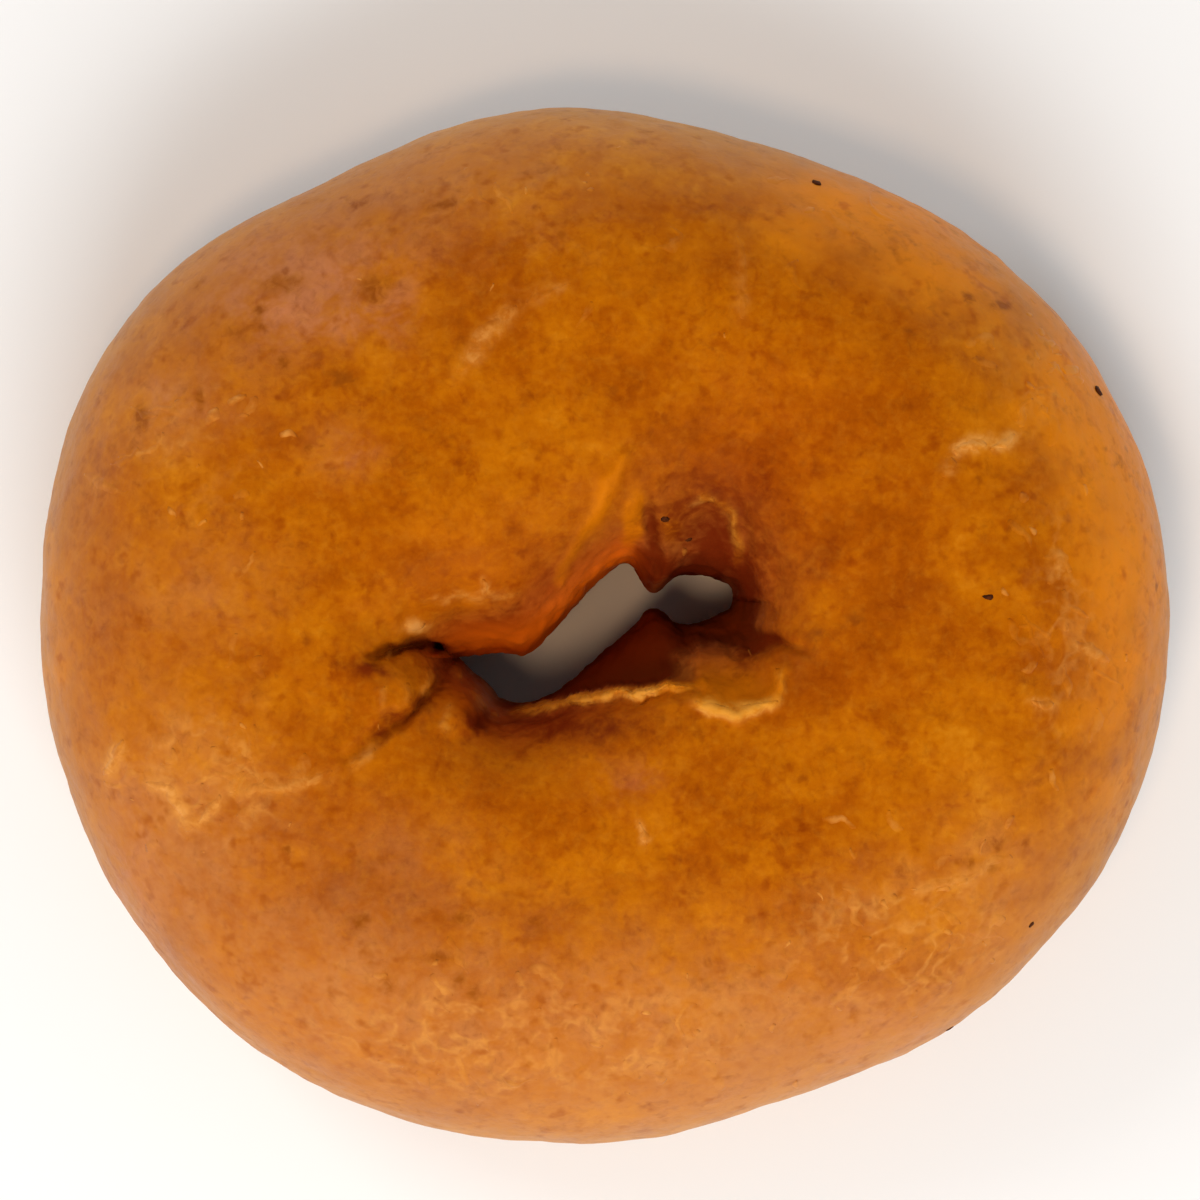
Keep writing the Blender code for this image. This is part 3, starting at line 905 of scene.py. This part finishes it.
def wrinkle(picks, x, y):
    """A winding line that starts at (x, y)."""
    heading = picks.uniform(0.0, 360.0)
    path = [(x, y)]
    for _ in range(int(picks.uniform(*WRINKLE_LENGTH) / WRINKLE_STEP) + 1):
        heading += picks.gauss(0.0, WRINKLE_TURN)
        x += WRINKLE_STEP * math.cos(math.radians(heading))
        y += WRINKLE_STEP * math.sin(math.radians(heading))
        path.append((x, y))
    return path


def make_wrinkles(ground, material):
    """Short, low, winding strips, gathered in some areas of the crust."""
    wrinkles = Strips(ground, 8)
    picks = wrinkles.picks
    for cx, cy, rx, ry, count in WRINKLED:
        for _ in range(count):
            x, y = picks.gauss(cx, AREA_SPREAD * rx), picks.gauss(cy, AREA_SPREAD * ry)
            path = wrinkle(picks, x, y)
            strength = picks.uniform(*WRINKLE_STRENGTH)
            half_width = picks.uniform(*WRINKLE_HALF_WIDTH)
            if all(math.hypot(x / LENGTH, y / WIDTH) < WRINKLE_REACH for x, y in path):
                wrinkles.add(path, half_width, WRINKLE_HEIGHT, strength)
    return wrinkles.joined("wrinkles", material)


def make_burnt_grains(ground):
    """Uneven lumps, half sunk in the crust."""
    ball = bmesh.new()
    bmesh.ops.create_icosphere(ball, subdivisions=2, radius=0.5)
    unit = np.array([vertex.co for vertex in ball.verts])
    faces = np.array([[vertex.index for vertex in face.verts] for face in ball.faces])
    ball.free()
    points = []
    for x, y, length, width, turn in BURNT_GRAINS:
        place, normal, _ = ground.under(x, y)
        along = Vector((math.cos(math.radians(turn)), math.sin(math.radians(turn)), 0.0))
        along = (along - normal * along.dot(normal)).normalized()
        axes = np.array([along, normal.cross(along), normal])
        uneven = 1.0 + 0.5 * noise_at(unit + np.array([x, y, 0.0]), 0.5, 2)
        lump = unit * uneven[:, None] * np.array([length, width, GRAIN_HEIGHT * width])
        points.append(lump @ axes + np.array(place))
    polygons = np.concatenate([faces + len(unit) * i for i in range(len(points))])
    made = mesh_object("burnt_grains", np.concatenate(points), polygons.tolist())
    made.data.materials.append(make_burnt_material())
    return made


def mesh_object(name, points, faces, attributes=()):
    mesh = bpy.data.meshes.new(name)
    mesh.from_pydata((points * MM).tolist(), [], faces)
    for label, values in dict(attributes).items():
        layer = mesh.attributes.new(label, "FLOAT", "POINT")
        layer.data.foreach_set("value", values.ravel().astype(np.float32))
    mesh.shade_smooth()
    made = bpy.data.objects.new(name, mesh)
    bpy.context.scene.collection.objects.link(made)
    return made


def grid_faces(columns, rows):
    """Quads of a grid that closes on itself both ways, facing out."""
    index = np.arange(columns * rows).reshape(columns, rows)
    beyond, up = np.roll(index, -1, axis=0), np.roll(index, -1, axis=1)
    both = np.roll(beyond, -1, axis=1)
    return np.stack([index, beyond, both, up], axis=-1).reshape(-1, 4).tolist()


class Material:
    """A node material whose nodes are made by short calls. Sizes are in millimetres."""

    def __init__(self, name, **constants):
        self.made = bpy.data.materials.new(name)
        self.made.use_nodes = True
        self.tree = self.made.node_tree
        self.surface = self.tree.nodes["Principled BSDF"]
        for socket, value in constants.items():
            self.surface.inputs[socket.replace("_", " ")].default_value = value
        place = self.tree.nodes.new("ShaderNodeTexCoord").outputs["Object"]
        self.place = self.vector("SCALE", place, Scale=1.0 / MM)

    def node(self, kind, sockets, **settings):
        made = self.tree.nodes.new(kind)
        for name, value in settings.items():
            setattr(made, name, value)
        for name, value in sockets.items():
            if isinstance(value, bpy.types.NodeSocket):
                self.tree.links.new(value, made.inputs[name])
            else:
                made.inputs[name].default_value = value
        return made.outputs

    def vector(self, operation, first, second=None, **sockets):
        sockets = {0: first, **({} if second is None else {1: second}), **sockets}
        return self.node("ShaderNodeVectorMath", sockets, operation=operation)["Vector"]

    def math(self, operation, first, second=0.0):
        return self.node("ShaderNodeMath", {0: first, 1: second}, operation=operation)["Value"]

    def add(self, *values):
        total = values[0]
        for value in values[1:]:
            total = self.math("ADD", total, value)
        return total

    def times(self, first, second):
        return self.math("MULTIPLY", first, second)

    def attribute(self, name):
        return self.node("ShaderNodeAttribute", {}, attribute_name=name)["Fac"]

    def noise(self, size, detail=2.0, roughness=0.5, warp=0.0, shift=0.0):
        """Noise from 0 to 1 whose lumps are about as large as size."""
        moved = self.vector("ADD", self.place, (shift, -shift, shift))
        sockets = {"Vector": moved, "Scale": 1.0 / size, "Detail": detail}
        sockets |= {"Roughness": roughness, "Distortion": warp}
        return self.node("ShaderNodeTexNoise", sockets)["Fac"]

    def step(self, value, start, end, low=0.0, high=1.0):
        """A smooth step from low to high as the value goes from start to end."""
        names = ("Value", "From Min", "From Max", "To Min", "To Max")
        sockets = dict(zip(names, (value, start, end, low, high)))
        return self.node("ShaderNodeMapRange", sockets, interpolation_type="SMOOTHSTEP")["Result"]

    def specks(self, spacing, radius):
        """1 in small dots, and 0 between them."""
        moved = self.vector("ADD", self.place, self.node("ShaderNodeTexNoise", {"Scale": 1.5})["Color"])
        cells = self.node("ShaderNodeTexVoronoi", {"Vector": moved, "Scale": 1.0 / spacing})
        return self.step(cells["Distance"], radius / spacing * 1.5, radius / spacing * 0.5)

    def ramp(self, value, *stops):
        """A colour from (position, colour) stops."""
        made = self.tree.nodes.new("ShaderNodeValToRGB")
        while len(made.color_ramp.elements) < len(stops):
            made.color_ramp.elements.new(1.0)
        for element, (position, colour) in zip(made.color_ramp.elements, stops):
            element.position = position
            element.color = (*colour, 1.0)
        self.tree.links.new(value, made.inputs["Fac"])
        return made.outputs["Color"]

    def blend(self, share, first, second, mode="MIX"):
        colours = [(*c, 1.0) if isinstance(c, tuple) else c for c in (first, second)]
        sockets = {0: share, 6: colours[0], 7: colours[1]}
        return self.node("ShaderNodeMix", sockets, data_type="RGBA", blend_type=mode)[2]

    def bump(self, height, depth, strength):
        sockets = {"Height": height, "Distance": depth * MM, "Strength": strength}
        return self.node("ShaderNodeBump", sockets)["Normal"]

    def finish(self, **sockets):
        for name, value in sockets.items():
            self.tree.links.new(value, self.surface.inputs[name.replace("_", " ")])
        return self.made


def make_crust_material():
    m = Material("baked_crust", Specular_IOR_Level=0.2, Specular_Tint=(1.0, 0.42, 0.05, 1.0))
    height = m.node("ShaderNodeSeparateXYZ", {0: m.place})["Z"]
    broad = m.noise(22.0, 1.0)
    mottle = m.noise(6.5, 2.0, 0.6, 0.3, shift=11.0)
    fine = m.noise(0.8, 2.0, 0.5, 0.4, shift=23.0)
    haze = m.noise(4.0, 3.0, 0.7, 0.3, shift=41.0)
    ragged = m.noise(1.3, 3.0, 0.6, 0.6, shift=67.0)
    winding = m.math("ABSOLUTE", m.add(m.noise(3.8, 2.0, 0.55, 0.25, shift=53.0), -0.5))
    net = m.times(m.step(winding, 0.0, 0.085, 1.0, 0.0), m.step(haze, 0.38, 0.62))
    netted = m.times(m.step(m.attribute("netted"), 0.1, 0.9), net)
    smudged = m.times(
        m.step(m.noise(3.2, 3.0, 0.6, 0.5, shift=83.0), 0.54, 0.72),
        m.step(m.noise(11.0, 1.0, shift=61.0), 0.38, 0.62, 0.25, 1.0),
    )
    dappled = m.step(m.noise(2.6, 2.0, shift=97.0), 0.54, 0.74)
    # The tone takes in the patches' painted shade and light as well as the crust's browning.
    tone = m.add(
        m.times(m.add(broad, -0.5), 0.7),
        m.times(m.add(mottle, -0.5), 0.9),
        m.times(m.add(fine, -0.5), 0.40),
        m.times(smudged, -0.26),
        m.times(dappled, 0.12),
        m.times(m.attribute("browning_and_shading"), -0.32),
        0.52,
    )
    top = m.ramp(
        tone,
        (0.0, (0.232, 0.039, 0.0003)),
        (0.35, (0.349, 0.079, 0.0004)),
        (0.65, (0.456, 0.130, 0.0008)),
        (1.0, (0.595, 0.218, 0.0070)),
    )
    side = m.ramp(
        tone,
        (0.0, (0.340, 0.112, 0.020)),
        (0.5, (0.450, 0.190, 0.042)),
        (1.0, (0.550, 0.275, 0.088)),
    )
    # The lower side is paler: partly less browned skin, partly painted light and sheen.
    pale_and_lit_side = m.step(m.add(height, m.times(mottle, 6.0), m.times(broad, 8.0)), 42.0, 24.0)
    colour = m.blend(pale_and_lit_side, top, side)
    # Warm orange skin, painted bright as painted light on the side.
    orange_painted_light = m.step(m.add(m.attribute("orange_painted_light"), m.times(mottle, 0.7)), 0.42, 1.35, 0.0, 0.88)
    colour = m.blend(orange_painted_light, colour, (0.73, 0.220, 0.002))
    # Painted sheen: tan veils of reflected light.
    painted_sheen = m.times(m.attribute("painted_sheen"), m.step(haze, 0.25, 0.75, 0.50, 1.20))
    colour = m.blend(m.step(painted_sheen, 0.0, 1.0, 0.0, 0.92), colour, (0.455, 0.170, 0.046))
    # Painted sheen: pinkish veils of reflected light.
    pink_sheen = m.times(m.attribute("pink_sheen"), m.step(haze, 0.32, 0.68, 0.30, 1.30))
    colour = m.blend(m.step(pink_sheen, 0.0, 1.0, 0.0, 0.90), colour, (0.50, 0.180, 0.075))
    frosted = m.step(m.noise(1.2, 3.0, 0.6, 0.3, shift=37.0), 0.45, 0.75, 0.0, 0.14)
    colour = m.blend(frosted, colour, (0.58, 0.230, 0.014))
    dabs = m.step(m.noise(1.9, 2.0, 0.5, 0.1, shift=19.0), 0.52, 0.78, 0.0, 0.90)
    dabbed = m.times(dabs, m.step(mottle, 0.35, 0.60, 0.4, 1.0))
    colour = m.blend(dabbed, colour, (0.74, 0.56, 0.30), "MULTIPLY")
    colour = m.blend(m.times(netted, 0.42), colour, (0.66, 0.290, 0.055))
    smudge = m.times(m.attribute("smudged"), m.step(ragged, 0.3, 0.7, 0.4, 1.1))
    colour = m.blend(m.step(smudge, 0.0, 0.75, 0.0, 0.85), colour, (0.240, 0.055, 0.002))
    speckled = m.times(m.specks(4.6, 0.50), m.step(haze, 0.45, 0.60, 0.0, 0.6))
    colour = m.blend(speckled, colour, (0.23, 0.045, 0.001))
    # Redder, darker skin: partly toasted crust, partly painted shade near the slit's wall.
    reddened_and_shaded = m.step(m.add(m.attribute("reddened_and_shaded"), m.times(mottle, 0.3)), 0.15, 1.2, 0.0, 0.9)
    colour = m.blend(reddened_and_shaded, colour, (0.76, 0.42, 0.45), "MULTIPLY")
    yellow = m.step(m.add(m.attribute("yellow"), m.times(haze, 0.6)), 0.35, 1.35, 0.0, 0.85)
    colour = m.blend(yellow, colour, (0.54, 0.150, 0.001))
    # Painted shade, dark red, in the folds and hollows near the slit.
    deep = m.step(m.add(m.attribute("deep"), m.times(m.add(haze, ragged), 0.8)), 0.75, 1.55, 0.0, 0.92)
    colour = m.blend(deep, colour, (0.120, 0.009, 0.001))
    # Painted shade on the sunken wall inside the lip.
    sunk = m.step(m.add(m.attribute("sunken"), m.times(ragged, 0.4)), 0.35, 1.15)
    colour = m.blend(sunk, colour, (0.115, 0.014, 0.002))
    # Painted shade on the slit's front wall.
    colour = m.blend(m.attribute("front_wall_shade"), colour, (0.140, 0.016, 0.001))
    # Painted light: the slit's back wall is painted bright orange, as if lit.
    colour = m.blend(m.attribute("back_wall_light"), colour, (0.85, 0.150, 0.002))
    # Painted shade in the creases.
    colour = m.blend(m.times(m.attribute("crease_shade"), 0.9), colour, (0.120, 0.013, 0.001))
    patchy = m.step(m.noise(1.5, 3.0, 0.6, 0.5, shift=5.0), 0.3, 0.7, 0.45, 1.25)
    torn = m.times(m.attribute("torn"), patchy)
    pale = m.ramp(
        torn,
        (0.1, (0.54, 0.200, 0.025)),
        (0.5, (0.60, 0.245, 0.045)),
        (1.0, (0.68, 0.330, 0.090)),
    )
    pale = m.blend(m.step(m.attribute("yellow"), 0.0, 0.7, 0.0, 0.8), pale, (0.60, 0.250, 0.020))
    # Torn skin near the slit is darker too, partly as painted shade.
    pale = m.blend(m.times(m.attribute("near_slit"), 0.8), pale, (0.52, 0.180, 0.006))
    colour = m.blend(m.step(torn, 0.0, 0.65, 0.0, 0.9), colour, pale)
    dull = m.add(m.attribute("deep"), m.attribute("sunken"), m.attribute("front_wall_shade"))
    rough = m.add(m.step(m.add(fine, mottle), 0.6, 1.4, 0.38, 0.54), m.times(dull, 0.25))
    bumps = m.add(m.times(m.noise(0.35, 3.0, 0.6, shift=3.0), 0.4), fine, m.times(netted, 0.3))
    return m.finish(Base_Color=colour, Roughness=rough, Normal=m.bump(bumps, 0.06, 0.6))


def make_burnt_material():
    m = Material("burnt_grain", Roughness=0.6, Specular_IOR_Level=0.05)
    colour = m.ramp(m.noise(0.3, 2.0), (0.3, (0.030, 0.007, 0.002)), (0.7, (0.090, 0.020, 0.003)))
    return m.finish(Base_Color=colour)


def make_light(name, place, size, watts, glossy, colour):
    """A soft box that faces the bagel."""
    light = bpy.data.lights.new(name, "AREA")
    light.shape = "RECTANGLE"
    light.size, light.size_y = size
    light.energy = watts
    light.color = colour
    made = bpy.data.objects.new(name, light)
    made.visible_glossy = glossy
    bpy.context.scene.collection.objects.link(made)
    made.location = place
    made.rotation_euler = Vector(place).to_track_quat("Z", "Y").to_euler()


def make_camera():
    camera = bpy.data.cameras.new("camera")
    camera.sensor_width = SENSOR_WIDTH
    camera.lens = SENSOR_WIDTH * (CAMERA_DISTANCE - SIDE_HEIGHT * MM) / FRAME_WIDTH
    made = bpy.data.objects.new("camera", camera)
    made.location = (*FRAME_MIDDLE, CAMERA_DISTANCE)
    bpy.context.scene.collection.objects.link(made)
    bpy.context.scene.camera = made


def make_surroundings():
    corners = np.array([(-1, -1, 0), (1, -1, 0), (1, 1, 0), (-1, 1, 0)]) * FLOOR_HALF_SIDE
    floor = mesh_object("floor", corners, [(0, 1, 2, 3)])
    m = Material("floor", Base_Color=FLOOR_COLOUR, Roughness=0.9, Specular_IOR_Level=0.1)
    floor.data.materials.append(m.made)
    world = bpy.data.worlds.new("world")
    world.use_nodes = True
    tree = world.node_tree
    sky = tree.nodes.new("ShaderNodeTexCoord")
    split = tree.nodes.new("ShaderNodeSeparateXYZ")
    ramp = tree.nodes.new("ShaderNodeMapRange")
    tree.links.new(sky.outputs["Generated"], split.inputs[0])
    tree.links.new(split.outputs["Z"], ramp.inputs["Value"])
    ramp.inputs["To Min"].default_value = HORIZON
    ramp.inputs["To Max"].default_value = ZENITH
    tree.links.new(ramp.outputs["Result"], tree.nodes["Background"].inputs["Strength"])
    tree.nodes["Background"].inputs["Color"].default_value = (1.0, 1.0, 1.0, 1.0)
    bpy.context.scene.world = world
    bpy.context.scene.view_settings.view_transform = "Standard"


crust = make_crust()
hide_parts("bagel")
skin = crust.data.materials[0]
ground = Ground(crust)
pieces = (
    crust,
    make_torn_skin(ground, skin),
    make_flecks(ground, skin),
    make_wrinkles(ground, skin),
    make_burnt_grains(ground),
)
for piece in pieces:
    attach(piece, "root")

make_surroundings()
for light in LIGHTS:
    make_light(*light)
make_camera()
